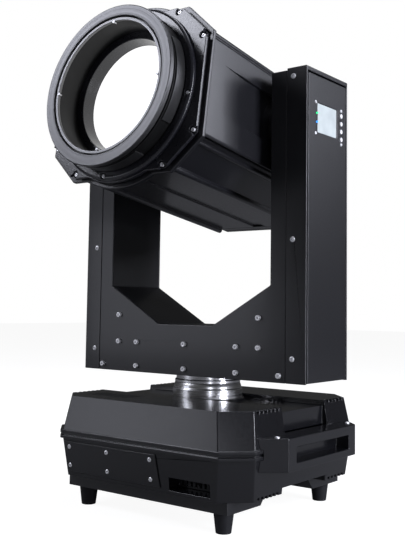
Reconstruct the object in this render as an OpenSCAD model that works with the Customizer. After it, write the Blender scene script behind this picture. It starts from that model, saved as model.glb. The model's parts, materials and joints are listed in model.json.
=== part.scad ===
// Moving head light: a base that stands on four feet, a yoke that pans on it, and a head that tilts.
// +Z is up, +X runs along the tilt axis towards the arm with the display, and the head faces -Y.
// The origin is on the ground, on the pan axis. All sizes are in millimetres.

/* [Base] */
// Width of the base at its lip
base_w = 346; // [330:2:356]
// Depth of the base at its lip
base_d = 320; // [310:2:340]
// Leg of the 45 degree corners of the base
base_corner = 33; // [24:1:40]
// Height of the feet below the tray
foot_h = 27; // [20:1:36]
// Height of the tray
tray_h = 16; // [14:1:20]
// Height of the lower shell
lower_h = 58; // [56:1:66]
// Height of the upper shell
upper_h = 53; // [50:1:60]
// Thickness of the shells' walls
shell_t = 3; // [2:0.5:4]

/* [Yoke] */
// Width over both arms
yoke_w = 400; // [396:1:408]
// Depth of the yoke
yoke_d = 112; // [110:1:120]
// Height of the yoke
yoke_h = 418; // [414:1:430]
// Width of one arm
arm_w = 55; // [54:1:57]
// Height of the crossbar
bar_h = 72; // [66:1:76]
// Gap between the base's top and the yoke
yoke_gap = 31; // [29:1:34]
// Height of the tilt axis above the yoke's bottom
axis_h = 350; // [346:1:354]

/* [Head] */
// Diameter of the hood's front ring
hood_d = 219; // [212:1:222]
// Width of the octagonal front plate
head_w = 256; // [252:1:258]
// Height of the octagonal front plate
head_h = 219; // [214:1:222]
// Upward angle of the beam at rest
beam_tilt = 8.5; // [0:0.5:12]

/* [Hidden] */
$fn = 64;
e = 0.01;

// Heights above the ground
z_tray = foot_h;
z_lower = z_tray + tray_h;
z_ridge = z_lower + lower_h;
z_top = z_ridge + upper_h;
z_valley = z_top - 7;
z_yoke = z_top + yoke_gap;
z_axis = z_yoke + axis_h;
z_arm = z_yoke + yoke_h;

// Base
lip_out = 2;
lip_h = 4.5;
lip_gap = 3;
shell_w = base_w - 2 * lip_out;
shell_d = base_d - 2 * lip_out;
low_in = 7;
top_in = 8.5;
low_lean = atan2(low_in, lower_h + lip_gap / 2);
notch_h = 8;
front_y = -53;
back_y = 58;
side_in = 3;
tray_x = 140;
tray_y = 140;
tray_t = 2;
tray_hole = 132;
pad_y = 66;
foot_x = 120;
foot_y = 120;
foot_top_r = 13;
foot_low_r = 10;
bracket_x = 180;
bracket_y = 80;
bracket_hole_r = 5.25;
handle_x = 196;
handle_y = 88;
handle_z0 = z_ridge - 22;
handle_z1 = z_ridge + 20;
handle_screw_x = base_w / 2 + 8;
handle_screw_y = 92;
slot_y = 69;
slot_z0 = z_ridge - 12;
slot_z1 = z_ridge + 7;
cover_t = 2;
cover_top = -11;
cover_low = -53;
cover_screw_u = [-123, -51, 27];
cover_screw_v = [-18, -44];
pocket_u = 56;
pocket_w = 66;
pocket_v = -55;
pocket_h = 17;
pocket_deep = 22;
socket_w = 210;
socket_h = 44;
socket_v = -54;
plate_screw_u = 108;
inlet_u = 78;
data_u = -70;

// Pan drive
collar_r = 51;
collar_z0 = z_valley + 5;
collar_z1 = z_yoke - 11.5;
bearing_r = 36;
shaft_r = 22;
run_fit = 0.05;
ring_r = 50;
pan_belt_z = z_valley - 30;
belt_h = 9;
pan_drive_r = 10;
pan_motor_y = 102;

// Yoke
sheet = 3;
half_w = yoke_w / 2;
half_d = yoke_d / 2;
strip_w = 31;
seam_x = half_w - strip_w;
seam_gap = 0.6;
weld_gap = 0.04;
inner_x = half_w - arm_w;
cut_dx = 96;
cut_dz = 56;
cut_a = atan2(cut_dz, cut_dx);
z_bar = z_yoke + bar_h;
plate_drop = 2.5;
z_plate = z_arm - plate_drop;
groove = 2;
screw_r = 3.5;
screw_h = 4;
low_row = 9.5;
high_row = 44.5;
top_row = 84.5;
cap_spots = [
    [0, low_row], [91, low_row], [160, low_row],
    [0, high_row], [91, high_row], [127.5, high_row],
    [127.5, top_row]
];
strip_screw_x = half_w - 20.5;
strip_screw_z = [32, 188, 406];

// Display
view_y = -1;
view_w = 52;
view_h = 40;
view_z = z_axis + 3;
button_y = 36;
button_r = 3.2;
button_pitch = 11;
light_y = -30;
board_x = half_w - 12;

// Tilt drive
hub_r = 25;
hub_hole_r = 17;
hub_flange_r = 44;
tilt_bearing_r = 34;
tilt_bearing_t = 10;
tilt_ring_r = 38;
tilt_drive_r = 9.5;
tilt_drop = 150;
tilt_belt_x = -(inner_x + sheet + 17.5);
tilt_belt_w = 8;
belt_t = 1.6;
belt_clear = 0.4;
belt_sink = 0.03;

// Head, measured ahead of the tilt axis and out from the beam
face_f = 191;
flange_f = 183;
shell_rear_f = -150;
rear_f = -231;
flange_half_w = head_w / 2 + 5;
flange_half_h = head_h / 2 + 3;
flange_r = 127;
plate_half_w = head_w / 2;
plate_half_h = head_h / 2;
plate_r = 121;
corner_x = 46;
corner_z = 42;
corner_in = 3;
body_half_w = 119;
body_half_h = 100;
body_corner_x = 38;
body_corner_z = 34.7;
channel_half = 11;
channel_deep = 3;
wall = 3;
// Rails along the body: out, up, radius
rails = [[113.2, 70.8, 3], [79.5, 102.5, 4.5]];
hood_r = hood_d / 2;
hood_f = 230.5;
hood_in_r = 95;
bore_r = 89.5;
seat_deep = 6;
ring_deep = 1.5;
tab_r = 88;
corner_screw = 0.97;
ring_screw_r = 114;
ring_turn = 8;
barrel_r = 106.5;
barrel_arc = 62;
lens_r = 77;
lens_f = 172;
lens_t = 11;
lens_dome = 8;
sleeve_r = 88;
panel_x = 129;
panel_z = 62;
panel_lip = 4.5;
recess_z0 = -30;
recess_z1 = 36;
plate_f = [120, 40, -60];
chassis_half_w = 104;
chassis_half_h = 84;
rod_r = 5;
post_x = 78;
post_z = 66;
guide_x = 52;
guide_r = 4;
wheel_r = 55;
wheel_z = 38;
spindle_r = 4;
colour_f = 50;
gobo_f = 58;
focus_f = 92;
fan_r = 42;
fan_f = -212;

// ---- Placing and outline helpers ----

// An outline in X and Z, drawn out along Y from y0.
module along(y0, len) {
    rotate([90, 0, 0])
        translate([0, 0, -(y0 + len)])
            linear_extrude(len)
                children();
}

// An outline in X and Z, drawn out ahead of the tilt axis from f0.
module ahead(f0, len) {
    along(-(f0 + len), len)
        children();
}

// An outline in Y and Z, drawn out along X from x0.
module across(x0, len) {
    rotate([90, 0, 90])
        translate([0, 0, x0])
            linear_extrude(len)
                children();
}

// A cylinder along X, from x0, centred on y and z.
module rod_x(x0, len, r, y = 0, z = 0) {
    translate([x0, y, z])
        rotate([0, 90, 0])
            cylinder(h = len, r = r);
}

// A cylinder along the beam, from f0, centred on x and z.
module rod_f(f0, len, r, x = 0, z = 0) {
    translate([x, -f0, z])
        rotate([90, 0, 0])
            cylinder(h = len, r = r);
}

// A profile of radius and distance ahead, turned about the beam.
module turned(points) {
    rotate([90, 0, 0])
        rotate_extrude($fn = 128)
            polygon(points);
}

// The head's own frame, tilted to its rest angle.
module on_head() {
    translate([0, 0, z_axis])
        rotate([-beam_tilt, 0, 0])
            children();
}

module both_sides() {
    for (s = [0, 1])
        mirror([s, 0, 0])
            children();
}

module both_faces() {
    for (s = [0, 1])
        mirror([0, s, 0])
            children();
}

// Octagon with corner legs cx and cz.
module octagon(half_x, half_z, cx, cz) {
    polygon([
        [half_x, cz - half_z], [half_x, half_z - cz],
        [half_x - cx, half_z], [cx - half_x, half_z],
        [-half_x, half_z - cz], [-half_x, cz - half_z],
        [cx - half_x, -half_z], [half_x - cx, -half_z]
    ]);
}

// A prism along Y whose half width goes from a at z0 to b at z1.
module wedge(a, b, z0, z1) {
    reach = 600;
    along(-reach / 2, reach)
        polygon([[-a, z0], [a, z0], [b, z1], [-b, z1]]);
}

// Octagonal block whose sides lean between two heights.
module lean_block(w0, d0, w1, d1, corner, z0, z1) {
    m0 = (w0 / 2 + d0 / 2 - corner) / sqrt(2);
    m1 = (w1 / 2 + d1 / 2 - corner) / sqrt(2);
    intersection() {
        wedge(w0 / 2, w1 / 2, z0, z1);
        rotate([0, 0, 90])
            wedge(d0 / 2, d1 / 2, z0, z1);
        rotate([0, 0, 45])
            wedge(m0, m1, z0, z1);
        rotate([0, 0, -45])
            wedge(m0, m1, z0, z1);
    }
}

// Cap screw with a hexagon socket, its head standing along +Z from z = 0.
module cap_screw(r = screw_r, h = screw_h, shank = 5) {
    difference() {
        union() {
            cylinder(h = h, r = r, $fn = 32);
            translate([0, 0, -shank])
                cylinder(h = shank + e, r = r * 0.55, $fn = 32);
        }
        translate([0, 0, h / 2])
            cylinder(h = h, r = r * 0.5, $fn = 6);
    }
}

// Low domed screw, its head standing along +Z from z = 0.
module flat_screw(r = 3, h = 1.4, shank = 4) {
    cylinder(h = h, r1 = r, r2 = r * 0.7, $fn = 32);
    translate([0, 0, -shank])
        cylinder(h = shank + e, r = r * 0.5, $fn = 32);
}

// ---- Base ----

// Bottom line of the tray from front to back, lifted by dz.
function tray_line(dz) = let (up = tray_h - tray_t, run = 12) [
    [-tray_y, z_tray + dz], [-pad_y, z_tray + dz],
    [-(pad_y - run), z_tray + up + dz], [pad_y - run, z_tray + up + dz],
    [pad_y, z_tray + dz], [tray_y, z_tray + dz]
];

function backwards(list) = [for (i = [len(list) - 1:-1:0]) list[i]];

module base_tray() {
    color([0.14, 0.14, 0.15])
        difference() {
            union() {
                across(-tray_x, 2 * tray_x)
                    polygon(concat(tray_line(0), backwards(tray_line(tray_t))));
                for (x = [-tray_x, tray_x - tray_t])
                    across(x, tray_t)
                        tray_side();
                for (y = [-tray_y, tray_y - tray_t])
                    translate([-tray_x, y, z_tray])
                        cube([2 * tray_x, tray_t, tray_h]);
                for (x = [-tray_hole, tray_hole - tray_t])
                    translate([x, front_y, z_lower - e])
                        cube([tray_t, back_y - front_y - 5, notch_h]);
            }
            for (x = [-bracket_x / 2, bracket_x / 2], y = [-bracket_y / 2, bracket_y / 2])
                translate([x, y, z_tray])
                    cylinder(h = tray_h + 1, r = bracket_hole_r);
        }
}

module tray_side() {
    line = tray_line(0);
    polygon(concat([for (i = [0:2]) line[i]], [[line[2][0], z_lower], [-tray_y, z_lower]]));
    polygon(concat([for (i = [3:5]) line[i]], [[tray_y, z_lower], [line[3][0], z_lower]]));
}

module lower_solid(t) {
    difference() {
        lean_block(
            shell_w - 2 * low_in - 2 * t, shell_d - 2 * low_in - 2 * t,
            shell_w - 2 * t, shell_d - 2 * t, base_corner, z_lower, z_ridge + lip_gap / 2
        );
        translate([-base_w, front_y - t, z_lower - 1])
            cube([2 * base_w, back_y - front_y + 2 * t, notch_h + 1 + t]);
        translate([-base_w, -base_d, z_lower - 1])
            cube([2 * base_w, 2 * base_d, t + 1]);
    }
}

module upper_solid(t, z1) {
    lean_block(
        shell_w - 2 * t, shell_d - 2 * t,
        shell_w - 2 * top_in - 2 * t, shell_d - 2 * top_in - 2 * t, base_corner, z_ridge, z1
    );
}

module lip(z0) {
    translate([0, 0, z0])
        linear_extrude(lip_h)
            difference() {
                octagon(base_w / 2, base_d / 2, base_corner, base_corner);
                octagon(shell_w / 2 - shell_t, shell_d / 2 - shell_t, base_corner, base_corner);
            }
}

// Plane of the lower shell's front: x across, y up from the ridge, z outwards.
module lower_front() {
    translate([0, -shell_d / 2, z_ridge + lip_gap / 2])
        rotate([90 + low_lean, 0, 0])
            children();
}

module lower_back() {
    mirror([0, 1, 0])
        lower_front()
            children();
}

// A row of vent cuts along one side edge, at a height z.
module edge_cuts(y0, y1, count, x, z) {
    step = (y1 - y0) / count;
    for (i = [0:count - 1])
        both_sides()
            translate([x, y0 + step * (i + 0.25), z])
                cube([20, step / 2, 5]);
}

module base_lower_shell() {
    color([0.13, 0.13, 0.14])
        difference() {
            union() {
                difference() {
                    lower_solid(0);
                    lower_solid(shell_t);
                    translate([0, 0, z_ridge + lip_gap / 2 - e])
                        linear_extrude(1)
                            octagon(
                                shell_w / 2 - shell_t, shell_d / 2 - shell_t,
                                base_corner, base_corner
                            );
                }
                lip(z_ridge - lip_gap / 2 - lip_h);
                lower_front()
                    pocket_walls();
            }
            translate([-tray_hole, -tray_hole, z_lower - 1])
                cube([2 * tray_hole, 2 * tray_hole, notch_h + 5]);
            lower_front() {
                pocket_hole();
                for (u = cover_screw_u, v = cover_screw_v)
                    translate([u, v, -5])
                        cylinder(h = 10, r = 1.7, $fn = 32);
            }
            lower_back() {
                translate([-socket_w / 2, socket_v, -20])
                    cube([socket_w, socket_h, 40]);
                for (u = [-plate_screw_u, plate_screw_u])
                    translate([u, socket_v + socket_h / 2, -5])
                        cylinder(h = 10, r = 1.7, $fn = 32);
            }
            edge_cuts(-112, -60, 6, 157, z_lower - 1);
            edge_cuts(64, 112, 5, 157, z_lower - 1);
        }
}

module pocket_walls() {
    translate([pocket_u - wall, pocket_v - wall + 1, -pocket_deep - wall])
        cube([pocket_w + 2 * wall, pocket_h + 2 * wall - 1, pocket_deep + wall - 1]);
}

module pocket_hole() {
    translate([pocket_u, pocket_v, -pocket_deep])
        cube([pocket_w, pocket_h, pocket_deep + 10]);
}

module base_upper_shell() {
    color([0.16, 0.16, 0.17])
        difference() {
            union() {
                difference() {
                    upper_body(0);
                    upper_body(shell_t);
                    translate([0, 0, z_ridge - e])
                        linear_extrude(lip_gap / 2 + e)
                            square(600, center = true);
                }
                lip(z_ridge + lip_gap / 2);
                translate([0, 0, z_valley - shell_t])
                    cylinder(h = collar_z0 - z_valley + shell_t, r = collar_r + 3);
            }
            translate([0, 0, z_valley - 20])
                cylinder(h = 60, r = bearing_r + 4);
            edge_cuts(-112, -58, 6, 157, z_top - 4);
            edge_cuts(64, 112, 5, 157, z_top - 4);
            top_slots();
        }
}

// Upper shell's solid, with the valley between its front and back blocks, inset by t.
module upper_body(t) {
    difference() {
        intersection() {
            upper_solid(t, z_top);
            translate([0, 0, z_ridge])
                linear_extrude(upper_h - t)
                    square(600, center = true);
        }
        translate([-base_w, front_y - t, z_valley - t])
            cube([2 * base_w, back_y - front_y + 2 * t, 20]);
        both_sides()
            across(shell_w / 2 - top_in - side_in - t, 40)
                polygon([
                    [front_y - t, z_ridge + 20], [back_y + t, z_ridge + 20],
                    [back_y + t, z_top + 1], [front_y - t, z_top + 1]
                ]);
    }
}

// Slanted vent slots through the front block's top, on the left.
module top_slots() {
    for (i = [0:6])
        translate([-130 + 11 * i, -118, z_top - 10])
            rotate([0, 0, -12])
                cube([4, 34, 20]);
}

module handle() {
    root_x = shell_w / 2 - low_in;
    root_y = handle_y + handle_x - root_x;
    color([0.15, 0.15, 0.16])
        difference() {
            translate([0, 0, handle_z0])
                linear_extrude(handle_z1 - handle_z0)
                    polygon([
                        [root_x, -root_y], [handle_x, -handle_y],
                        [handle_x, handle_y], [root_x, root_y]
                    ]);
            lean_block(
                shell_w - 2 * low_in, shell_d - 2 * low_in,
                shell_w, shell_d, base_corner, z_lower, z_ridge + lip_gap / 2
            );
            upper_solid(0, z_top);
            translate([0, 0, z_ridge - lip_gap / 2 - lip_h])
                linear_extrude(lip_gap + 2 * lip_h)
                    octagon(base_w / 2, base_d / 2, base_corner, base_corner);
            translate([base_w / 2 + 3, -slot_y, slot_z0])
                cube([40, 2 * slot_y, slot_z1 - slot_z0]);
            for (y = [-handle_screw_y, handle_screw_y])
                translate([handle_screw_x, y, handle_z1 - 6])
                    cylinder(h = 10, r = 1.7, $fn = 32);
        }
}

module handle_right() {
    handle();
}

module handle_left() {
    mirror([1, 0, 0])
        handle();
}

module base_screws() {
    color("silver") {
        lower_front()
            for (u = cover_screw_u, v = cover_screw_v)
                translate([u, v, cover_t])
                    cap_screw(2.8, 2.4, 4);
        both_sides()
            for (y = [-handle_screw_y, handle_screw_y])
                translate([handle_screw_x, y, handle_z1])
                    flat_screw();
        for (x = [-plate_screw_u, plate_screw_u])
            lower_back()
                translate([x, socket_v + socket_h / 2, cover_t])
                    flat_screw();
    }
}

module rubber_feet() {
    color([0.05, 0.05, 0.05])
        for (x = [-foot_x, foot_x], y = [-foot_y, foot_y])
            translate([x, y, 0]) {
                cylinder(h = foot_h - 3, r1 = foot_low_r, r2 = foot_top_r);
                translate([0, 0, foot_h - 3])
                    cylinder(h = 3, r = foot_top_r);
            }
}

module access_cover() {
    color([0.12, 0.12, 0.13])
        lower_front()
            difference() {
                linear_extrude(cover_t)
                    polygon([[-133, cover_top], [36, cover_top], [42, cover_low], [-127, cover_low]]);
                for (u = cover_screw_u, v = cover_screw_v)
                    translate([u, v, -1])
                        cylinder(h = cover_t + 2, r = 1.7, $fn = 32);
            }
}

module vent_panel() {
    color([0.04, 0.04, 0.04])
        lower_front()
            difference() {
                translate([pocket_u + 0.5, pocket_v + 0.5, -pocket_deep])
                    cube([pocket_w - 1, pocket_h - 1, 3]);
                for (i = [0:7])
                    translate([pocket_u + 6 + 7.5 * i, pocket_v + 3, -pocket_deep - 1])
                        cube([3, pocket_h - 6, 5]);
            }
}

module connector_plate() {
    color([0.2, 0.2, 0.21])
        lower_back()
            difference() {
                translate([-socket_w / 2 - 6, socket_v - 2, 0])
                    cube([socket_w + 12, socket_h + 2, cover_t]);
                for (u = [inlet_u, inlet_u - 40, data_u, data_u + 36])
                    translate([u, socket_v + socket_h / 2, -1])
                        cylinder(h = cover_t + 2, r = 13);
                for (x = [-plate_screw_u, plate_screw_u])
                    translate([x, socket_v + socket_h / 2, -1])
                        cylinder(h = cover_t + 2, r = 1.8, $fn = 32);
            }
}

// Round panel socket with a recessed face.
module round_socket(pins) {
    difference() {
        union() {
            translate([0, 0, -18])
                cylinder(h = 18 + cover_t, r = 12.9);
            translate([0, 0, cover_t])
                cylinder(h = 2.5, r = 14.5);
        }
        translate([0, 0, cover_t - 8])
            cylinder(h = 14, r = 10);
    }
    for (i = [0:pins - 1])
        rotate([0, 0, 360 / pins * i])
            translate([5.5, 0, cover_t - 8 - e])
                cylinder(h = 7, r = 1.1, $fn = 24);
}

module power_inlet() {
    color([0.25, 0.3, 0.45])
        lower_back()
            for (u = [inlet_u, inlet_u - 40])
                translate([u, socket_v + socket_h / 2, 0])
                    round_socket(3);
}

module data_sockets() {
    color([0.3, 0.3, 0.31])
        lower_back()
            for (u = [data_u, data_u + 36])
                translate([u, socket_v + socket_h / 2, 0])
                    round_socket(5);
}

module power_supply() {
    color([0.7, 0.7, 0.72])
        difference() {
            translate([-120, -130, z_tray + tray_t])
                cube([160, 62, 58]);
            for (i = [0:9])
                translate([-112 + 15 * i, -131, z_lower + 4])
                    cube([6, 10, 26]);
        }
}

// ---- Pan drive ----

module pan_collar() {
    color([0.8, 0.8, 0.82])
        translate([0, 0, collar_z0])
            rotate_extrude($fn = 128)
                polygon([
                    [bearing_r, 0], [collar_r, 0], [collar_r, 13], [collar_r - 1.5, 14.5],
                    [collar_r - 1.5, 17], [collar_r - 3, collar_z1 - collar_z0],
                    [bearing_r, collar_z1 - collar_z0]
                ]);
}

module pan_bearing() {
    color([0.65, 0.65, 0.67])
        translate([0, 0, collar_z0])
            rotate_extrude()
                polygon([
                    [shaft_r + run_fit, 0], [bearing_r, 0], [bearing_r, 14], [bearing_r - 4, 14],
                    [bearing_r - 5, 13], [shaft_r + 5, 13], [shaft_r + 4, 14], [shaft_r + run_fit, 14]
                ]);
}

module pan_hub() {
    color([0.78, 0.78, 0.8])
        rotate_extrude($fn = 128)
            polygon([
                [15, pan_belt_z - 10], [shaft_r, pan_belt_z - 10], [shaft_r, collar_z1 + 0.5],
                [collar_r - 3, collar_z1 + 0.5], [collar_r - 3, collar_z1 + 4],
                [collar_r - 5, collar_z1 + 5.5], [collar_r - 5, z_yoke], [15, z_yoke]
            ]);
}

module pan_ring_pulley() {
    color([0.5, 0.5, 0.52])
        translate([0, 0, pan_belt_z])
            difference() {
                union() {
                    translate([0, 0, -2])
                        cylinder(h = 2, r = ring_r + 3);
                    cylinder(h = belt_h + 1, r = ring_r);
                    translate([0, 0, belt_h + 1])
                        cylinder(h = 2, r = ring_r + 3);
                }
                translate([0, 0, -3])
                    cylinder(h = belt_h + 7, r = shaft_r);
                for (i = [0:5])
                    rotate([0, 0, 60 * i])
                        translate([36, 0, -3])
                            cylinder(h = belt_h + 7, r = 8);
            }
}

module pan_motor() {
    color([0.2, 0.2, 0.22])
        translate([0, pan_motor_y, 0]) {
            translate([-28, -28, z_tray + tray_t])
                cube([56, 56, 64]);
            translate([0, 0, z_tray + tray_t + 64 - e])
                cylinder(h = pan_belt_z + belt_h - z_tray - tray_t - 64, r = 4);
        }
}

module small_pulley(r, h, bore) {
    difference() {
        union() {
            cylinder(h = 1.5, r = r + 2.5);
            translate([0, 0, 1.5])
                cylinder(h = h, r = r);
            translate([0, 0, 1.5 + h])
                cylinder(h = 1.5, r = r + 2.5);
        }
        translate([0, 0, -1])
            cylinder(h = h + 5, r = bore);
    }
}

module pan_drive_pulley() {
    color([0.75, 0.75, 0.77])
        translate([0, pan_motor_y, pan_belt_z - 1])
            small_pulley(pan_drive_r, belt_h, 4 + run_fit);
}

// Belt outline round a pulley r1 at the origin and a pulley r2 at distance c along +x.
// The straight runs sink a little into the two arcs, which keeps the joins clean.
module belt_shape(r1, r2, c) {
    s = (r1 - r2) / c;
    k = sqrt(1 - s * s);
    a = r1 - belt_sink;
    b = r2 - belt_sink;
    circle(r = r1);
    translate([c, 0])
        circle(r = r2);
    polygon([[a * s, -a * k], [c + b * s, -b * k], [c + b * s, b * k], [a * s, a * k]]);
}

module belt(r1, r2, c, h) {
    linear_extrude(h)
        difference() {
            belt_shape(r1 + belt_clear + belt_t, r2 + belt_clear + belt_t, c);
            belt_shape(r1 + belt_clear, r2 + belt_clear, c);
        }
}

module pan_belt() {
    color([0.06, 0.06, 0.06])
        translate([0, 0, pan_belt_z + 1])
            rotate([0, 0, 90])
                belt(ring_r, pan_drive_r, pan_motor_y, belt_h - 1);
}

// ---- Yoke ----

// Edge of the cut-out between the arms, moved out by o, up to the height top.
function cut_edge(o, top) = let (
    x1 = inner_x + o,
    z1 = z_bar + cut_dz - o * tan(45 - cut_a / 2),
    x2 = inner_x - cut_dx + o * tan(cut_a / 2),
    z2 = z_bar - o
) [[-x1, top], [-x1, z1], [-x2, z2], [x2, z2], [x1, z1], [x1, top]];

module plate_outline() {
    polygon(concat(
        cut_edge(0, z_plate),
        [[seam_x, z_plate], [seam_x, z_yoke], [-seam_x, z_yoke], [-seam_x, z_plate]]
    ));
}

module yoke_frame() {
    color([0.3, 0.3, 0.32])
        difference() {
            union() {
                along(-half_d + sheet, yoke_d - 2 * sheet)
                    polygon(concat(cut_edge(0, z_plate), backwards(cut_edge(sheet, z_plate))));
                translate([-seam_x, -half_d + sheet, z_yoke])
                    cube([2 * seam_x, yoke_d - 2 * sheet, 6]);
                for (x = [-46, 40])
                    translate([x, -half_d + sheet, z_yoke + 6 - e])
                        cube([6, yoke_d - 2 * sheet, bar_h - 6 - sheet + 2 * e]);
                both_faces()
                    along(-half_d + sheet, 3)
                        flange_plate();
                both_sides() {
                    rod_x(inner_x + sheet - e, tilt_bearing_t + 1, tilt_bearing_r + 5, 0, z_axis);
                    translate([inner_x, -half_d + sheet, z_plate - sheet])
                        cube([seam_x - inner_x, yoke_d - 2 * sheet, sheet]);
                }
                motor_posts();
            }
            both_sides() {
                rod_x(inner_x - 1, 30, hub_r + 3, 0, z_axis);
                rod_x(inner_x + sheet, 30, tilt_bearing_r, 0, z_axis);
            }
            translate([0, 0, z_yoke - 1])
                cylinder(h = 12, r = 15);
            cap_places()
                rotate([90, 0, 0])
                    cylinder(h = yoke_d, r = 2.1, center = true, $fn = 32);
            both_sides()
                translate([inner_x - cut_dx, -half_d, z_yoke - 1])
                    cube([weld_gap, yoke_d, yoke_h]);
            translate([-half_w, -half_d, z_bar + cut_dz])
                cube([yoke_w, yoke_d, weld_gap]);
        }
}

// Flange behind one plate, reaching out behind the arm covers.
module flange_plate() {
    out_x = half_w - 12;
    polygon(concat(
        cut_edge(1, z_plate - 1),
        [[out_x, z_plate - 1], [out_x, z_yoke + 1], [-out_x, z_yoke + 1], [-out_x, z_plate - 1]]
    ));
}

module motor_posts() {
    for (y = [-23.5, 23.5], z = [-23.5, 23.5])
        rod_x(-half_w + 28, arm_w - sheet - 27, 4, y, z_axis - tilt_drop + z);
}

module cap_places() {
    for (p = cap_spots, s = p[0] == 0 ? [1] : [-1, 1])
        translate([s * p[0], 0, z_yoke + p[1]])
            children();
}

module yoke_plate() {
    color([0.17, 0.17, 0.18])
        difference() {
            along(-half_d, sheet)
                plate_outline();
            cap_places()
                rotate([90, 0, 0])
                    cylinder(h = half_d + 10, r = 2.1, $fn = 32);
        }
}

module yoke_front_plate() {
    yoke_plate();
}

module yoke_rear_plate() {
    mirror([0, 1, 0])
        yoke_plate();
}

// Cover of one arm: front and rear strips, their returns on the side, and the top.
module arm_cover() {
    color([0.19, 0.19, 0.2])
        difference() {
            translate([seam_x + seam_gap, -half_d, z_yoke])
                cube([strip_w - seam_gap, yoke_d, yoke_h]);
            translate([seam_x - 1, -half_d + sheet, z_yoke - 1])
                cube([strip_w + 1 - sheet, yoke_d - 2 * sheet, yoke_h + 1 - sheet]);
            translate([half_w - sheet - 1, -half_d + sheet, z_yoke - 1])
                cube([sheet + 2, yoke_d - 2 * sheet, yoke_h - 5]);
            for (y = [-half_d, half_d], z = strip_screw_z)
                translate([strip_screw_x, y, z_yoke + z])
                    rotate([90, 0, 0])
                        cylinder(h = 10, r = 1.7, center = true, $fn = 32);
        }
}

module arm_cover_right() {
    arm_cover();
}

module arm_cover_left() {
    mirror([1, 0, 0])
        arm_cover();
}

// Flat outer panel of one arm, a groove in from the cover's edges.
module side_sheet() {
    across(half_w - sheet, sheet)
        polygon([
            [-half_d + sheet + groove, z_yoke + 1], [half_d - sheet - groove, z_yoke + 1],
            [half_d - sheet - groove, z_arm - 8], [-half_d + sheet + groove, z_arm - 8]
        ]);
}

module side_panel_left() {
    color([0.18, 0.18, 0.19])
        mirror([1, 0, 0])
            difference() {
                side_sheet();
                for (z = strip_screw_z)
                    rod_x(half_w - 10, 20, 1.7, 0, z_yoke + z - 4);
            }
}

module side_panel_right() {
    color([0.18, 0.18, 0.19])
        difference() {
            side_sheet();
            translate([half_w - 10, view_y - view_w / 2, view_z - view_h / 2])
                cube([20, view_w, view_h]);
            for (i = [0:3])
                rod_x(half_w - 10, 20, button_r + 0.4, button_y, button_z(i));
            for (z = light_z)
                rod_x(half_w - 10, 20, 1.6, light_y, z);
            for (p = display_screws)
                rod_x(half_w - 10, 20, 1.2, p[0], p[1]);
        }
}

function button_z(i) = view_z + 1.5 * button_pitch - 3.5 - button_pitch * i;
light_z = [view_z + 5.5, view_z - 6.5];
display_screws = [[-33, view_z + 20], [-33, view_z - 22], [37, view_z + 20.5], [37, view_z - 27]];

module plate_screws() {
    color("silver")
        both_faces()
            translate([0, -half_d, 0])
                cap_places()
                    rotate([90, 0, 0])
                        cap_screw();
}

module cover_screws() {
    color([0.6, 0.6, 0.62]) {
        both_faces()
            both_sides()
                for (z = strip_screw_z)
                    translate([strip_screw_x, -half_d, z_yoke + z])
                        rotate([90, 0, 0])
                            flat_screw(3, 1.4, sheet);
        for (z = strip_screw_z)
            translate([-half_w, 0, z_yoke + z - 4])
                rotate([0, -90, 0])
                    flat_screw();
        for (p = display_screws)
            translate([half_w, p[0], p[1]])
                rotate([0, 90, 0])
                    flat_screw(1.8, 1, 4);
    }
}

module display_window() {
    color([0.75, 0.8, 0.8])
        translate([half_w - sheet, view_y - view_w / 2 + 0.2, view_z - view_h / 2 + 0.2])
            cube([sheet - 0.6, view_w - 0.4, view_h - 0.4]);
}

module display_board() {
    color([0.1, 0.35, 0.2]) {
        translate([board_x, -42, view_z - 30])
            cube([1.6, 84, 60]);
        translate([board_x + 1.6, view_y - 24, view_z - 18])
            cube([7.2, 48, 36]);
    }
}

module status_lights() {
    color([0.2, 0.8, 0.4])
        for (z = light_z)
            rod_x(board_x + 1.6, 10.9, 1.5, light_y, z);
}

module menu_button(i) {
    color("silver") {
        rod_x(half_w - sheet - 1.8, sheet + 3.3, button_r, button_y, button_z(i));
        rod_x(half_w - sheet - 2.8, 2, button_r + 1.6, button_y, button_z(i));
    }
}

module menu_button_1() {
    menu_button(0);
}

module menu_button_2() {
    menu_button(1);
}

module menu_button_3() {
    menu_button(2);
}

module menu_button_4() {
    menu_button(3);
}

// ---- Tilt drive ----

module tilt_motor() {
    color([0.2, 0.2, 0.22]) {
        translate([-half_w + 5, -28, z_axis - tilt_drop - 28])
            cube([23, 56, 56]);
        rod_x(-half_w + 28 - e, 14, 4, 0, z_axis - tilt_drop);
    }
}

module tilt_drive_pulley() {
    color([0.75, 0.75, 0.77])
        translate([tilt_belt_x - 1.5 - tilt_belt_w / 2, 0, z_axis - tilt_drop])
            rotate([0, 90, 0])
                small_pulley(tilt_drive_r, tilt_belt_w, 4 + run_fit);
}

module tilt_belt() {
    color([0.06, 0.06, 0.06])
        translate([tilt_belt_x - tilt_belt_w / 2 + 0.5, 0, z_axis])
            rotate([0, 90, 0])
                belt(tilt_ring_r, tilt_drive_r, tilt_drop, tilt_belt_w - 1);
}

module tilt_bearings() {
    color([0.65, 0.65, 0.67])
        both_sides()
            translate([inner_x + sheet, 0, z_axis])
                rotate([0, 90, 0])
                    difference() {
                        cylinder(h = tilt_bearing_t, r = tilt_bearing_r);
                        translate([0, 0, -1])
                            cylinder(h = tilt_bearing_t + 2, r = hub_r + run_fit);
                    }
}

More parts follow.
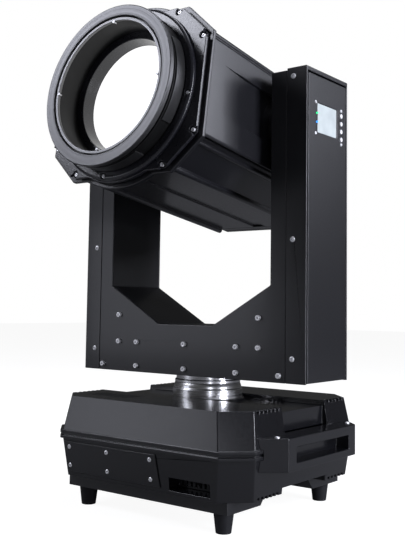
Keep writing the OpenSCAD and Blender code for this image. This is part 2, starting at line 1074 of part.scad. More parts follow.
module tilt_hubs() {
    color([0.45, 0.45, 0.47])
        on_head()
            both_sides()
                difference() {
                    union() {
                        rod_x(body_half_w - wall - 6, 6, hub_flange_r - 8);
                        rod_x(body_half_w, 5, hub_flange_r);
                        rod_x(body_half_w, inner_x - body_half_w - 1.5, hub_r + 6);
                        rod_x(body_half_w - wall - 3, inner_x + 28 - body_half_w + wall + 3, hub_r);
                    }
                    rod_x(body_half_w - 20, 90, hub_hole_r);
                }
}

module tilt_ring_pulley() {
    color([0.5, 0.5, 0.52])
        on_head()
            translate([tilt_belt_x - tilt_belt_w / 2 - 1.5, 0, 0])
                rotate([0, 90, 0])
                    difference() {
                        union() {
                            cylinder(h = 1.5, r = tilt_ring_r + 3);
                            translate([0, 0, 1.5])
                                cylinder(h = tilt_belt_w, r = tilt_ring_r);
                            translate([0, 0, 1.5 + tilt_belt_w])
                                cylinder(h = 1.5, r = tilt_ring_r + 3);
                        }
                        translate([0, 0, -1])
                            cylinder(h = tilt_belt_w + 5, r = hub_r);
                    }
}

// ---- Head ----

module body_outline(t) {
    octagon(
        body_half_w - t, body_half_h - t,
        body_corner_x - 0.6 * t, body_corner_z - 0.6 * t
    );
}

module flange_outline(half_w, half_h, r) {
    octagon(half_w, half_h, corner_x, corner_z);
    circle(r = r, $fn = 128);
}

// The eight corners of the octagonal body.
function body_corners() = [
    for (sx = [-1, 1], sz = [-1, 1], k = [0, 1])
        k == 0
            ? [sx * (plate_half_w - corner_in), sz * (plate_half_h - corner_z - corner_in)]
            : [sx * (plate_half_w - corner_x - corner_in), sz * (plate_half_h - corner_in)]
];

module head_shell() {
    color([0.16, 0.16, 0.17])
        on_head()
            difference() {
                union() {
                    ahead(shell_rear_f, flange_f - 6 - shell_rear_f)
                        body_outline(0);
                    ahead(flange_f - 6, 6)
                        flange_outline(flange_half_w, flange_half_h, flange_r);
                    for (c = rails, sx = [-1, 1], sz = [-1, 1])
                        rod_f(shell_rear_f, flange_f - 3 - shell_rear_f, c[2], sx * c[0], sz * c[1]);
                }
                ahead(shell_rear_f - 1, flange_f - shell_rear_f + 2)
                    difference() {
                        body_outline(wall);
                        for (s = [-1, 1])
                            translate([0, s * (body_half_h - channel_deep)])
                                square([2 * channel_half + 8, 2 * wall], center = true);
                    }
                ahead(shell_rear_f - 1, flange_f - 6 - shell_rear_f)
                    for (s = [-1, 1])
                        translate([0, s * body_half_h])
                            square([2 * channel_half, 2 * channel_deep], center = true);
                both_sides()
                    rod_x(body_half_w - 10, 20, hub_r);
            }
}

// Half of a side panel's outline, from its foot up to its face.
module panel_outline() {
    lip_z = panel_z + panel_lip;
    polygon([
        [body_half_w, -panel_z], [panel_x - 2, -lip_z], [panel_x, -panel_z],
        [panel_x, panel_z], [panel_x - 2, lip_z], [body_half_w, panel_z]
    ]);
}

module head_side_panels() {
    color([0.2, 0.2, 0.21])
        on_head()
            both_sides()
                difference() {
                    ahead(shell_rear_f + 2, flange_f - 10 - shell_rear_f)
                        panel_outline();
                    ahead(shell_rear_f + 8, flange_f - 22 - shell_rear_f)
                        translate([body_half_w - 1, 4 - panel_z])
                            square([5, 2 * panel_z - 8]);
                    rod_x(body_half_w - 10, 30, hub_flange_r + 2);
                    translate([0, 0, recess_z0])
                        linear_extrude(recess_z1 - recess_z0)
                            polygon([
                                [panel_x, -150], [panel_x - 3, -95], [panel_x - 3, 85],
                                [panel_x, 140], [panel_x + 5, 140], [panel_x + 5, -150]
                            ]);
                }
}

module corner_circles(r, grow) {
    for (c = body_corners())
        translate([c[0] * grow, c[1] * grow])
            circle(r = r, $fn = 32);
}

module head_front_plate() {
    color([0.22, 0.22, 0.23])
        on_head() {
            ahead(face_f - 5, 5)
                difference() {
                    flange_outline(plate_half_w, plate_half_h, plate_r);
                    circle(r = sleeve_r - 1, $fn = 128);
                    corner_circles(4.4, corner_screw);
                    corner_circles(6, 1.02);
                }
            turned([
                [lens_r - 3, lens_f - lens_t - 3], [sleeve_r, lens_f - lens_t - 3],
                [sleeve_r, face_f], [lens_r + 2.5, face_f], [lens_r, lens_f],
                [lens_r + 3.3, lens_f], [lens_r + 3.3, lens_f - lens_t],
                [lens_r - 3, lens_f - lens_t]
            ]);
        }
}

module head_gasket() {
    color([0.03, 0.03, 0.03])
        on_head()
            ahead(flange_f, face_f - 5 - flange_f)
                difference() {
                    flange_outline(plate_half_w - 2, plate_half_h - 2, plate_r - 2);
                    circle(r = sleeve_r + 2, $fn = 128);
                    corner_circles(1.8, corner_screw);
                }
}

module head_screws() {
    color("silver")
        on_head() {
            for (c = body_corners())
                translate([c[0] * corner_screw, -(face_f - 5), c[1] * corner_screw])
                    rotate([90, 0, 0])
                        cap_screw(2.6, 3, 2.5);
            for (i = [0:3])
                rotate([0, 90 * i + ring_turn, 0])
                    translate([ring_screw_r, -(face_f + 4), 0])
                        rotate([90, 0, 0])
                            cap_screw(2.4, 2, 2);
            for (i = [0:3])
                rotate([0, 90 * i, 0])
                    translate([tab_r, -(hood_f - ring_deep), 0])
                        rotate([90, 0, 0])
                            cap_screw(1.8, 1.4, 4);
        }
}

module hood_flange() {
    color([0.24, 0.24, 0.25])
        on_head()
            difference() {
                turned([
                    [barrel_r + 0.4, face_f], [119, face_f], [119, face_f + 5],
                    [116, face_f + 7], [barrel_r + 0.4, face_f + 7]
                ]);
                for (i = [0:3])
                    rotate([0, 90 * i + ring_turn, 0]) {
                        rod_f(face_f + 4, 10, 4, ring_screw_r);
                        rod_f(face_f - 1, 10, 1.6, ring_screw_r);
                    }
            }
}

module lens_hood() {
    color([0.35, 0.35, 0.36])
        on_head()
            difference() {
                union() {
                    turned([
                        [hood_in_r, hood_f - seat_deep], [hood_in_r, hood_f], [hood_r - 1, hood_f],
                        [hood_r, hood_f - 1], [hood_r, hood_f - 7], [hood_r - 5, hood_f - 8.5],
                        [hood_r - 5, hood_f - 12], [barrel_r, hood_f - 12.5], [barrel_r, face_f],
                        [bore_r, face_f], [bore_r, hood_f - seat_deep]
                    ]);
                    barrel_panels();
                    for (i = [0:3])
                        rotate([0, 90 * i, 0])
                            rod_f(hood_f - 20, 20 - seat_deep, 3, tab_r, $fn = 32);
                }
                for (i = [0:3])
                    rotate([0, 90 * i, 0])
                        rod_f(hood_f - 14, 10, 1.2, tab_r, $fn = 32);
            }
}

// Raised panels around the outside of the hood's barrel.
module barrel_panels() {
    for (i = [0:3])
        rotate([0, 90 * i, 0])
            rotate([90, 0, 0])
                translate([0, 0, face_f + 9])
                    rotate([0, 0, -barrel_arc / 2])
                        rotate_extrude(angle = barrel_arc, $fn = 128)
                            translate([barrel_r - 1, 0])
                                square([3, 16]);
}

module retaining_ring() {
    color([0.7, 0.7, 0.72])
        on_head()
            difference() {
                union() {
                    turned([
                        [bore_r, hood_f - seat_deep], [hood_in_r - 1.8, hood_f - seat_deep],
                        [hood_in_r - 1.8, hood_f - ring_deep], [bore_r, hood_f - ring_deep]
                    ]);
                    for (i = [0:3])
                        rotate([0, 90 * i, 0])
                            rod_f(hood_f - seat_deep, seat_deep - ring_deep, 3, tab_r, $fn = 32);
                }
                for (i = [0:3])
                    rotate([0, 90 * i, 0])
                        rod_f(hood_f - 9, 9, 1.2, tab_r, $fn = 32);
            }
}

module front_lens() {
    rim_f = lens_f - 0.2;
    rim_r = lens_r - 0.5;
    half_a = 28;
    color([0.9, 0.93, 0.95, 0.5])
        on_head()
            rotate([90, 0, 0])
                rotate_extrude($fn = 128)
                    polygon(concat(
                        [[0, lens_f - lens_t], [lens_r + 3, lens_f - lens_t], [lens_r + 3, rim_f]],
                        [for (a = [half_a:-4:0]) [
                            rim_r * sin(a) / sin(half_a),
                            rim_f + lens_dome * (cos(a) - cos(half_a)) / (1 - cos(half_a))
                        ]]
                    ));
}

// Tapered octagonal solid behind the shell, inset by t.
module rear_solid(t) {
    end_half_w = 92 - t;
    end_half_h = 76 - t;
    start_w = body_half_w - t;
    start_h = body_half_h - t;
    bend_f = -172;
    intersection() {
        ahead(rear_f + t, shell_rear_f - rear_f - t)
            body_outline(t);
        translate([0, 0, -200])
            linear_extrude(400)
                polygon([
                    [-start_w, -shell_rear_f], [start_w, -shell_rear_f], [start_w, -bend_f],
                    [end_half_w, -rear_f], [-end_half_w, -rear_f], [-start_w, -bend_f]
                ]);
        across(-200, 400)
            polygon([
                [-shell_rear_f, -start_h], [-bend_f, -start_h], [-rear_f, -end_half_h],
                [-rear_f, end_half_h], [-bend_f, start_h], [-shell_rear_f, start_h]
            ]);
    }
}

module rear_cover() {
    color([0.15, 0.15, 0.16])
        on_head()
            difference() {
                rear_solid(0);
                rear_solid(wall);
                rod_f(rear_f - 10, 30, fan_r + 1);
                both_sides()
                    for (i = [0:4])
                        translate([70, -rear_f - 14 - 10 * i, -40])
                            cube([80, 4, 80]);
            }
}

module fan_frame() {
    color([0.08, 0.08, 0.08])
        on_head()
            difference() {
                union() {
                    ahead(rear_f + wall, 24)
                        difference() {
                            square(94, center = true);
                            circle(r = fan_r + 1);
                        }
                    for (r = [14, 24, 34, fan_r + 1])
                        ahead(rear_f, 2)
                            difference() {
                                circle(r = r);
                                circle(r = r - 2);
                            }
                    ahead(rear_f, 2)
                        for (a = [0, 90])
                            rotate(a + 45)
                                square([2 * fan_r + 2, 3], center = true);
                    rod_f(rear_f + 2 - e, 4, 12.5);
                    ahead(rear_f + 2 - e, wall - 1)
                        for (a = [0, 90])
                            rotate(a + 45)
                                square([2 * fan_r + 1, 3], center = true);
                    ahead(rear_f + wall, 1.5)
                        for (a = [0, 90])
                            rotate(a + 45)
                                square([2 * fan_r + 6, 3], center = true);
                    rod_f(rear_f + 5, 17, 2.5);
                }
            }
}

module fan_rotor() {
    color([0.12, 0.12, 0.13])
        on_head()
            difference() {
                union() {
                    rod_f(fan_f - 6, 14, 16);
                    for (i = [0:6])
                        rotate([0, 360 / 7 * i, 0])
                            translate([14, 0, 0])
                                translate([0, -(fan_f + 1), 0])
                                    rotate([32, 0, 0])
                                        translate([0, -6, -1])
                                            cube([fan_r - 16, 12, 2]);
                }
                rod_f(fan_f - 20, 40, 2.5 + run_fit);
            }
}

module head_chassis() {
    color([0.55, 0.55, 0.57])
        on_head()
            difference() {
                union() {
                    for (f = plate_f)
                        ahead(f, wall)
                            octagon(chassis_half_w, chassis_half_h, 30, 26);
                    for (x = [-post_x, post_x], z = [-post_z, post_z])
                        rod_f(plate_f[2], plate_f[0] - plate_f[2], rod_r, x, z);
                    for (x = [-guide_x, guide_x])
                        rod_f(plate_f[1], plate_f[0] - plate_f[1], guide_r, x, 0);
                    both_sides()
                        translate([0, -12, -30])
                            chassis_ear();
                }
                rod_f(plate_f[0] - 1, 5, 62);
                rod_f(plate_f[1] - 1, 5, 15);
                rod_f(plate_f[2] - 1, 5, 30);
                for (z = [-wheel_z, wheel_z])
                    rod_f(plate_f[1] - 1, 5, spindle_r + 2, 0, z);
            }
}

// Ear that ties the chassis to a tilt hub.
module chassis_ear() {
    translate([chassis_half_w - 14, -plate_f[1] + 12 - wall, 0])
        cube([12, plate_f[1] + 30, 60]);
    translate([chassis_half_w - 4, 0, 0])
        cube([body_half_w - wall - 6 - chassis_half_w + 4, 24, 60]);
}

module effect_motors() {
    color([0.25, 0.25, 0.27])
        on_head()
            for (s = [-1, 1]) {
                f_end = s < 0 ? colour_f : gobo_f;
                translate([-21, -plate_f[1], s * wheel_z - 21])
                    cube([42, 22, 42]);
                rod_f(plate_f[1] - e, f_end + 4 - plate_f[1], spindle_r, 0, s * wheel_z);
            }
}

// Wheel with a bore and seven holes, one of them on the beam.
module effect_wheel(f, t, z, hole_r) {
    difference() {
        rod_f(f, t, wheel_r, 0, z);
        rod_f(f - 1, t + 2, spindle_r + run_fit, 0, z);
        for (i = [0:6])
            translate([0, 0, z])
                rotate([0, 360 / 7 * i, 0])
                    rod_f(f - 1, t + 2, hole_r, 0, -z);
    }
}

module colour_wheel() {
    color([0.8, 0.4, 0.3])
        on_head()
            effect_wheel(colour_f, 1.5, -wheel_z, 13);
}

module gobo_wheel() {
    color([0.75, 0.75, 0.78])
        on_head()
            effect_wheel(gobo_f, 2, wheel_z, 12);
}

module focus_lens() {
    color([0.6, 0.65, 0.7])
        on_head()
            difference() {
                union() {
                    rod_f(focus_f, 8, 40);
                    ahead(focus_f, 8)
                        square([2 * guide_x + 18, 18], center = true);
                }
                for (x = [-guide_x, guide_x])
                    rod_f(focus_f - 1, 10, guide_r + run_fit, x, 0);
            }
}

module light_engine() {
    color([0.7, 0.7, 0.72])
        on_head() {
            rod_f(plate_f[2], 30, 27);
            ahead(plate_f[2] - 8, 8)
                square([150, 130], center = true);
            for (i = [0:12])
                ahead(plate_f[2] - 70, 62 + e)
                    translate([-75 + 12.1 * i, -65])
                        square([3, 130]);
        }
}

base_tray();
base_lower_shell();
base_upper_shell();
handle_left();
handle_right();
base_screws();
rubber_feet();
access_cover();
vent_panel();
connector_plate();
power_inlet();
data_sockets();
pan_collar();
pan_bearing();
pan_motor();
pan_drive_pulley();
pan_belt();
power_supply();
pan_ring_pulley();
pan_hub();
yoke_frame();
yoke_front_plate();
yoke_rear_plate();
arm_cover_left();
arm_cover_right();
side_panel_left();
side_panel_right();
plate_screws();
cover_screws();
display_window();
display_board();
status_lights();
menu_button_1();
menu_button_2();
menu_button_3();
menu_button_4();
tilt_motor();
tilt_drive_pulley();
tilt_belt();
tilt_bearings();
head_shell();
head_side_panels();
head_front_plate();
head_gasket();
head_screws();
hood_flange();
lens_hood();
retaining_ring();
front_lens();
rear_cover();
fan_frame();
fan_rotor();
tilt_hubs();
tilt_ring_pulley();
head_chassis();
effect_motors();
colour_wheel();
gobo_wheel();
focus_lens();
light_engine();
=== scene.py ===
import bpy
import bmesh
import json
from math import sin, cos, pi, radians
from mathutils import Vector, Matrix


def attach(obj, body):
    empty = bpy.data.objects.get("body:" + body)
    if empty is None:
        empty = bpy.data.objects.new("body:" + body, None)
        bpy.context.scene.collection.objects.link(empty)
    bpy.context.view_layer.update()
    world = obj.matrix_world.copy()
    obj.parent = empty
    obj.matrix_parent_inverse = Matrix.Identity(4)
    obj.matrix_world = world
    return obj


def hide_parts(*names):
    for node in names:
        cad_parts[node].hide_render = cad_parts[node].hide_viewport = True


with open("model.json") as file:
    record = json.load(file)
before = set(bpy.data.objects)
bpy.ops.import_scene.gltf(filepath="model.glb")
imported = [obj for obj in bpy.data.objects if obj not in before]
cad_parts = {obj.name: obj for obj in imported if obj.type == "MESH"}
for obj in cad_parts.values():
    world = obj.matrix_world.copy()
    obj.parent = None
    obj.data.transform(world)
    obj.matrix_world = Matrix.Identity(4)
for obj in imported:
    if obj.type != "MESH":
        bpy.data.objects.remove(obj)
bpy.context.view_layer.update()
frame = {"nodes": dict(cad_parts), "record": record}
NODES = frame["nodes"]
BODY_OF = {n: b for b, ns in frame["record"]["behaviour"]["bodies"].items() for n in ns}
SLOT_OF = {s["node"]: s["material_slot"] for s in frame["record"]["subparts"]}
scene = bpy.context.scene

# ---------------------------------------------------------------- materials


class Mat:
    """One procedural material: a shader, and small helpers that add nodes to it."""

    def __init__(self, name):
        self.m = bpy.data.materials.new(name)
        self.m.use_nodes = True
        self.t = self.m.node_tree
        self.s = self.t.nodes["Principled BSDF"]
        self.where = self.new("ShaderNodeTexCoord").outputs["Object"]

    def new(self, kind, **values):
        n = self.t.nodes.new(kind)
        for k, v in values.items():
            setattr(n, k, v)
        return n

    def link(self, a, b):
        self.t.links.new(a, b)

    def set(self, **values):
        for k, v in values.items():
            self.s.inputs[k.replace("_", " ")].default_value = v
        return self

    def noise(self, scale, detail=4, rough=0.5, stretch=(1, 1, 1)):
        n = self.new("ShaderNodeTexNoise")
        n.inputs["Scale"].default_value = scale
        n.inputs["Detail"].default_value = detail
        n.inputs["Roughness"].default_value = rough
        src = self.where
        if stretch != (1, 1, 1):
            mp = self.new("ShaderNodeMapping")
            mp.inputs["Scale"].default_value = stretch
            self.link(src, mp.inputs["Vector"])
            src = mp.outputs["Vector"]
        self.link(src, n.inputs["Vector"])
        return n.outputs["Fac"]

    def ramp(self, fac, lo, hi, a=0.35, b=0.65):
        r = self.new("ShaderNodeMapRange")
        r.inputs["From Min"].default_value = a
        r.inputs["From Max"].default_value = b
        r.inputs["To Min"].default_value = lo
        r.inputs["To Max"].default_value = hi
        self.link(fac, r.inputs["Value"])
        return r.outputs["Result"]

    def tint(self, fac, lo, hi, a=0.3, b=0.7):
        r = self.new("ShaderNodeValToRGB")
        r.color_ramp.elements[0].position = a
        r.color_ramp.elements[0].color = (*lo, 1)
        r.color_ramp.elements[1].position = b
        r.color_ramp.elements[1].color = (*hi, 1)
        self.link(fac, r.inputs["Fac"])
        self.link(r.outputs["Color"], self.s.inputs["Base Color"])

    def roughness(self, fac, lo, hi, a=0.35, b=0.65):
        self.link(self.ramp(fac, lo, hi, a, b), self.s.inputs["Roughness"])

    def bump(self, fac, strength, depth):
        b = self.new("ShaderNodeBump")
        b.inputs["Strength"].default_value = strength
        b.inputs["Distance"].default_value = depth
        self.link(fac, b.inputs["Height"])
        last = self.s.inputs["Normal"]
        if last.is_linked:
            self.link(last.links[0].from_socket, b.inputs["Normal"])
        self.link(b.outputs["Normal"], last)


def grey(v, warm=0.0):
    """A grey of brightness v, turned a little warm, or a little blue when warm is negative."""
    return (v * (1 + 0.4 * warm), v * (1 + 0.3 * warm), v * (1 - 1.2 * warm))


def coat_paint(name, tone, rough=0.42, grain=2600, depth=0.00004, blue=0.2, level=0.5):
    """Semi-gloss powder coat with a fine orange-peel grain."""
    m = Mat(name)
    m.set(Specular_IOR_Level=level, Coat_Weight=0.35, Coat_Roughness=0.14)
    m.tint(m.noise(9, 3), grey(tone * 0.95, -blue), grey(tone * 1.05, -blue))
    m.roughness(m.noise(400, 3), rough - 0.03, rough + 0.03)
    m.bump(m.noise(grain, 2), 0.35, depth)
    return m.m


def moulded(name, tone, rough, grain=900, depth=0.00002, level=0.5, blue=0.2):
    """Injection-moulded plastic: even tone, a fine grain and a thin glossy skin."""
    m = Mat(name)
    m.set(Specular_IOR_Level=level, Coat_Weight=0.3, Coat_Roughness=0.12)
    m.tint(m.noise(14, 4), grey(tone * 0.95, -blue), grey(tone * 1.05, -blue))
    m.roughness(m.noise(300, 3), rough - 0.02, rough + 0.02)
    m.bump(m.noise(grain, 3), 0.3, depth)
    return m.m


def metal(name, tone, rough, stretch=(1, 1, 1), grain=700, depth=0.00002, blue=0.01, metallic=1.0):
    """Bare metal with tool marks drawn out along one direction."""
    m = Mat(name)
    m.set(Metallic=metallic)
    marks = m.noise(grain, 4, 0.6, stretch)
    m.tint(marks, grey(tone * 0.88, -blue), grey(min(1, tone * 1.1), -blue))
    m.roughness(marks, rough * 0.8, rough * 1.25)
    m.bump(marks, 0.25, depth)
    return m.m


def turned_metal(name, tone, rough, centre, axis_tilt, pitch, metallic=1.0, depth=0.00002, blue=0.01):
    """Metal faced on a lathe: rings about the axis through centre."""
    m = Mat(name)
    m.set(Metallic=metallic)
    mp = m.new("ShaderNodeMapping")
    mp.inputs["Location"].default_value = centre
    mp.inputs["Rotation"].default_value = axis_tilt
    mp.vector_type = "TEXTURE"
    m.link(m.where, mp.inputs["Vector"])
    sep = m.new("ShaderNodeSeparateXYZ")
    m.link(mp.outputs["Vector"], sep.inputs["Vector"])
    flat = m.new("ShaderNodeCombineXYZ")
    m.link(sep.outputs["X"], flat.inputs["X"])
    m.link(sep.outputs["Y"], flat.inputs["Y"])
    far = m.new("ShaderNodeVectorMath", operation="LENGTH")
    m.link(flat.outputs["Vector"], far.inputs[0])
    along = m.new("ShaderNodeCombineXYZ")
    m.link(far.outputs["Value"], along.inputs["X"])
    m.link(sep.outputs["Z"], along.inputs["Y"])
    n = m.new("ShaderNodeTexNoise")
    n.inputs["Scale"].default_value = pitch
    n.inputs["Detail"].default_value = 3
    n.inputs["Roughness"].default_value = 0.6
    m.link(along.outputs["Vector"], n.inputs["Vector"])
    fine = n.outputs["Fac"]
    m.tint(fine, grey(tone * 0.875, -blue), grey(min(1, tone * 1.125), -blue))
    m.roughness(fine, rough * 0.8, rough * 1.3)
    m.bump(fine, 0.3, depth)
    return m.m


TILT = radians(8.5)
BEAM = Vector((0, -cos(TILT), sin(TILT)))
UP = Vector((0, sin(TILT), cos(TILT)))
AXIS = Vector((0, 0, 0.535))


def head(x, f, z):
    """A point of the head: out to the side, ahead of the tilt axis, and up."""
    return AXIS + Vector((x, 0, 0)) + BEAM * f + UP * z


def head_turned(name, tone, rough, metallic=1.0):
    """Metal of the head's rings, faced about the beam axis."""
    return turned_metal(name, tone, rough, tuple(AXIS), (pi / 2 - TILT, 0, 0), 1300, metallic)


MATS = {
    "tray_metal": coat_paint("tray_metal", 0.006, 0.5),
    "shell_black": moulded("shell_black", 0.005, 0.24),
    "cover_black": coat_paint("cover_black", 0.005, 0.36),
    "dark_plastic": moulded("dark_plastic", 0.004, 0.7, level=0.25),
    "blue_plastic": moulded("blue_plastic", 0.05, 0.35, blue=0.8),
    "socket_metal": metal("socket_metal", 0.45, 0.35),
    "rubber_black": moulded("rubber_black", 0.008, 0.7, 1500, 0.0001, 0.3),
    "screw_steel": metal("screw_steel", 0.95, 0.4, metallic=0.55),
    "screw_grey": metal("screw_grey", 0.8, 0.4, metallic=0.55),
    "polished_metal": turned_metal("polished_metal", 0.85, 0.24, (0, 0, 0), (0, 0, 0), 900),
    "bearing_steel": metal("bearing_steel", 0.6, 0.3),
    "pulley_metal": metal("pulley_metal", 0.6, 0.3),
    "plain_aluminium": metal("plain_aluminium", 0.55, 0.38, (1, 1, 8)),
    "motor_dark": coat_paint("motor_dark", 0.03, 0.4),
    "belt_rubber": moulded("belt_rubber", 0.01, 0.6),
    "yoke_metal": coat_paint("yoke_metal", 0.006, 0.4),
    "head_metal": coat_paint("head_metal", 0.007, 0.36),
    "hood_metal": head_turned("hood_metal", 0.04, 0.4, 0.85),
    "board_green": moulded("board_green", 0.05, 0.4),
    "wheel_metal": metal("wheel_metal", 0.55, 0.3),
    "button_chrome": metal("button_chrome", 0.8, 0.42, metallic=0.6),
}


def window_mat():
    m = Mat("window_glass")
    m.set(Roughness=0.12, Specular_IOR_Level=0.6, Coat_Weight=0.6, Coat_Roughness=0.05)
    m.tint(m.noise(40, 2), (0.50, 0.55, 0.55), (0.60, 0.66, 0.65))
    m.bump(m.noise(900, 2), 0.1, 0.00002)
    return m.m


def light_mat(name, colour, power):
    m = Mat(name)
    m.set(Roughness=0.25, Emission_Strength=power)
    m.s.inputs["Emission Color"].default_value = (*colour, 1)
    m.tint(m.noise(600, 2), tuple(c * 0.8 for c in colour), colour)
    return m.m


def lens_mat(name):
    """Front glass lit evenly from behind: a frosted white face under a clear polished coat."""
    m = Mat(name)
    m.set(Roughness=0.18, Specular_IOR_Level=0.5, Coat_Weight=1.0, Coat_Roughness=0.03, Emission_Strength=1.1)
    m.s.inputs["Emission Color"].default_value = (1, 1, 1, 1)
    m.tint(m.noise(20, 2), (0.86, 0.87, 0.88), (0.95, 0.95, 0.96))
    m.bump(m.noise(700, 2), 0.05, 0.00002)
    return m.m


MATS["window_glass"] = window_mat()
MATS["light_plastic"] = light_mat("light_plastic", (0.05, 0.65, 0.25), 1.2)
MATS["lens_glass"] = lens_mat("lens_glass")
MATS["focus_glass"] = lens_mat("focus_glass")

# Finishes of single pieces whose node shares its slot with others
FLANGE_PAINT = coat_paint("flange_paint", 0.012, 0.3)
RING_FACE = head_turned("ring_face", 0.12, 0.42)
# The retaining ring's metal: the same turned metal as the ring face, made lighter as a painted highlight for
# its thin bright edges.
RING_PAINTED_HIGHLIGHT = head_turned("ring_painted_highlight", 0.2, 0.45)
BARREL = head_turned("barrel", 0.012, 0.36, 0.6)
PANEL_FACE = head_turned("panel_face", 0.05, 0.36, 0.8)
LIGHT_BLUE = light_mat("light_blue", (0.08, 0.35, 0.95), 1.2)

for name, ob in NODES.items():
    ob.data.materials.clear()
    ob.data.materials.append(MATS[SLOT_OF[name]])

# ---------------------------------------------------------------- mesh tools


MM = 0.001
WELD = 2e-6
FLAT = radians(0.4)


def put(ob, body, slot, *replaced, mat=None):
    """Link a new piece, give it its material, and ride it on its body."""
    if ob.name not in scene.collection.objects:
        scene.collection.objects.link(ob)
    ob.data.materials.clear()
    ob.data.materials.append(mat or MATS[slot])
    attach(ob, body)
    if replaced:
        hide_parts(*replaced)
    return ob


def smooth(me, angle):
    """Smooth shading, with the edges sharper than the angle in degrees kept."""
    bm = bmesh.new()
    bm.from_mesh(me)
    lim = radians(angle)
    for f in bm.faces:
        f.smooth = True
    for e in bm.edges:
        e.smooth = len(e.link_faces) == 2 and e.calc_face_angle(0) < lim
    bm.to_mesh(me)
    bm.free()


def round_edges(ob, width, segments, angle):
    """Round every edge of a piece that is sharper than the angle in degrees."""
    b = ob.modifiers.new("round", "BEVEL")
    b.limit_method = "ANGLE"
    b.angle_limit = radians(angle)
    b.width = width
    b.segments = segments
    b.use_clamp_overlap = False
    b.harden_normals = True
    return b


def soften(node, width, segments=3, mat=None, merge=True):
    """The node's own shape as a new piece, with its sharp edges rounded by width in metres.
    With merge, its flat faces lose their triangles first."""
    me = NODES[node].data.copy()
    bm = bmesh.new()
    bm.from_mesh(me)
    bmesh.ops.remove_doubles(bm, verts=bm.verts, dist=WELD)
    if merge:
        bmesh.ops.dissolve_limit(bm, angle_limit=FLAT, verts=bm.verts, edges=bm.edges)
    for f in bm.faces:
        f.smooth = True
    bm.to_mesh(me)
    bm.free()
    ob = bpy.data.objects.new(node + "_skin", me)
    scene.collection.objects.link(ob)
    round_edges(ob, width, segments, 30).miter_outer = "MITER_ARC"
    w = ob.modifiers.new("even", "WEIGHTED_NORMAL")
    w.keep_sharp = True
    w.weight = 80
    return put(ob, BODY_OF[node], SLOT_OF[node], node, mat=mat)


def turned(name, profile, slot, replaced, mat, arc=None, width=0.4):
    """A ring of the head, turned about the beam axis from (radius, ahead) points in millimetres.
    With arc, only the part between those two angles in degrees, closed at its ends."""
    bm = bmesh.new()
    start, end = arc or (0, 360)
    count = int(RING_STEPS * (end - start) / 360)
    rows = []
    for k in range(count + 1 if arc else count):
        a = radians(start + (end - start) * k / count)
        row = [head(r * cos(a) * MM, f * MM, r * sin(a) * MM) for r, f in profile]
        rows.append([bm.verts.new(p) for p in row])
    for k in range(count):
        join_rings(bm, rows[k], rows[(k + 1) % len(rows)])
    if arc:
        bm.faces.new(rows[0])
        bm.faces.new(list(reversed(rows[-1])))
    bmesh.ops.recalc_face_normals(bm, faces=bm.faces)
    for f in bm.faces:
        f.smooth = True
    me = bpy.data.meshes.new(name)
    bm.to_mesh(me)
    bm.free()
    ob = bpy.data.objects.new(name, me)
    scene.collection.objects.link(ob)
    round_edges(ob, width * MM, 3, 25)
    return put(ob, "head", slot, replaced, mat=mat)


def join_rings(bm, a, b):
    """Faces between two closed rows of the same number of corners."""
    count = len(a)
    for i in range(count):
        n = (i + 1) % count
        bm.faces.new((a[i], a[n], b[n], b[i]))


def loose_parts(node):
    """The separate solids of a node, each as a list of its corners."""
    bm = bmesh.new()
    bm.from_mesh(NODES[node].data)
    bmesh.ops.remove_doubles(bm, verts=bm.verts, dist=WELD)
    seen, parts = set(), []
    for v in bm.verts:
        if v.index in seen:
            continue
        stack, found = [v], []
        seen.add(v.index)
        while stack:
            a = stack.pop()
            found.append(NODES[node].matrix_world @ a.co)
            for e in a.link_edges:
                b = e.other_vert(a)
                if b.index not in seen:
                    seen.add(b.index)
                    stack.append(b)
        parts.append(found)
    bm.free()
    return parts


def unit(k, length=1):
    """A vector of that length along axis k."""
    return Vector([length if i == k else 0 for i in range(3)])


def screw_place(pts):
    """Where a plain screw along X, Y or Z sits: its seat's centre, its outward axis, its axis
    number and its head's radius. Its head is at the end where it is widest."""
    lo = Vector([min(p[i] for p in pts) for i in range(3)])
    hi = Vector([max(p[i] for p in pts) for i in range(3)])
    mid, size = (lo + hi) / 2, hi - lo
    k = min((abs(size[(i + 1) % 3] - size[(i + 2) % 3]), i) for i in range(3))[1]
    wide = max(size[(k + 1) % 3], size[(k + 2) % 3]) / 2
    rim = []
    for p in pts:
        across = p - mid
        across[k] = 0
        if across.length > wide * 0.9:
            rim.append(p[k])
    out = 1 if sum(rim) / len(rim) > mid[k] else -1
    base = mid.copy()
    base[k] = min(rim) if out > 0 else max(rim)
    return base, unit(k, out), k, wide


def button_screw(name, node, pts, grow, rise, mat):
    """A low domed head with a hex socket, in place of one plain screw of the node."""
    base, axis, k, wide = screw_place(pts)
    side = unit((k + 1) % 3)
    other = axis.cross(side)
    r = wide * grow
    bm = bmesh.new()

    def ring(h, radius, hexagon=False):
        corners = []
        for i in range(SCREW_SIDES):
            a = 2 * pi * i / SCREW_SIDES
            near = cos(pi / 6) / cos((a % (pi / 3)) - pi / 6) if hexagon else 1
            corners.append(bm.verts.new(base + axis * h + (side * cos(a) + other * sin(a)) * radius * near))
        return corners

    rings = [ring(-STUB, r * 0.6), ring(0, r * 0.6)]
    rings += [ring(rise * up, r * out) for out, up in DOME]
    rings += [ring(rise * 0.96, r * 0.5, True), ring(-SOCKET, r * 0.48, True)]
    for a, b in zip(rings, rings[1:]):
        join_rings(bm, a, b)
    bm.faces.new(list(reversed(rings[0])))
    bm.faces.new(rings[-1])
    bmesh.ops.recalc_face_normals(bm, faces=bm.faces)
    me = bpy.data.meshes.new(name)
    bm.to_mesh(me)
    bm.free()
    smooth(me, 40)
    return put(bpy.data.objects.new(name, me), BODY_OF[node], SLOT_OF[node], node, mat=mat)


# ---------------------------------------------------------------- pieces

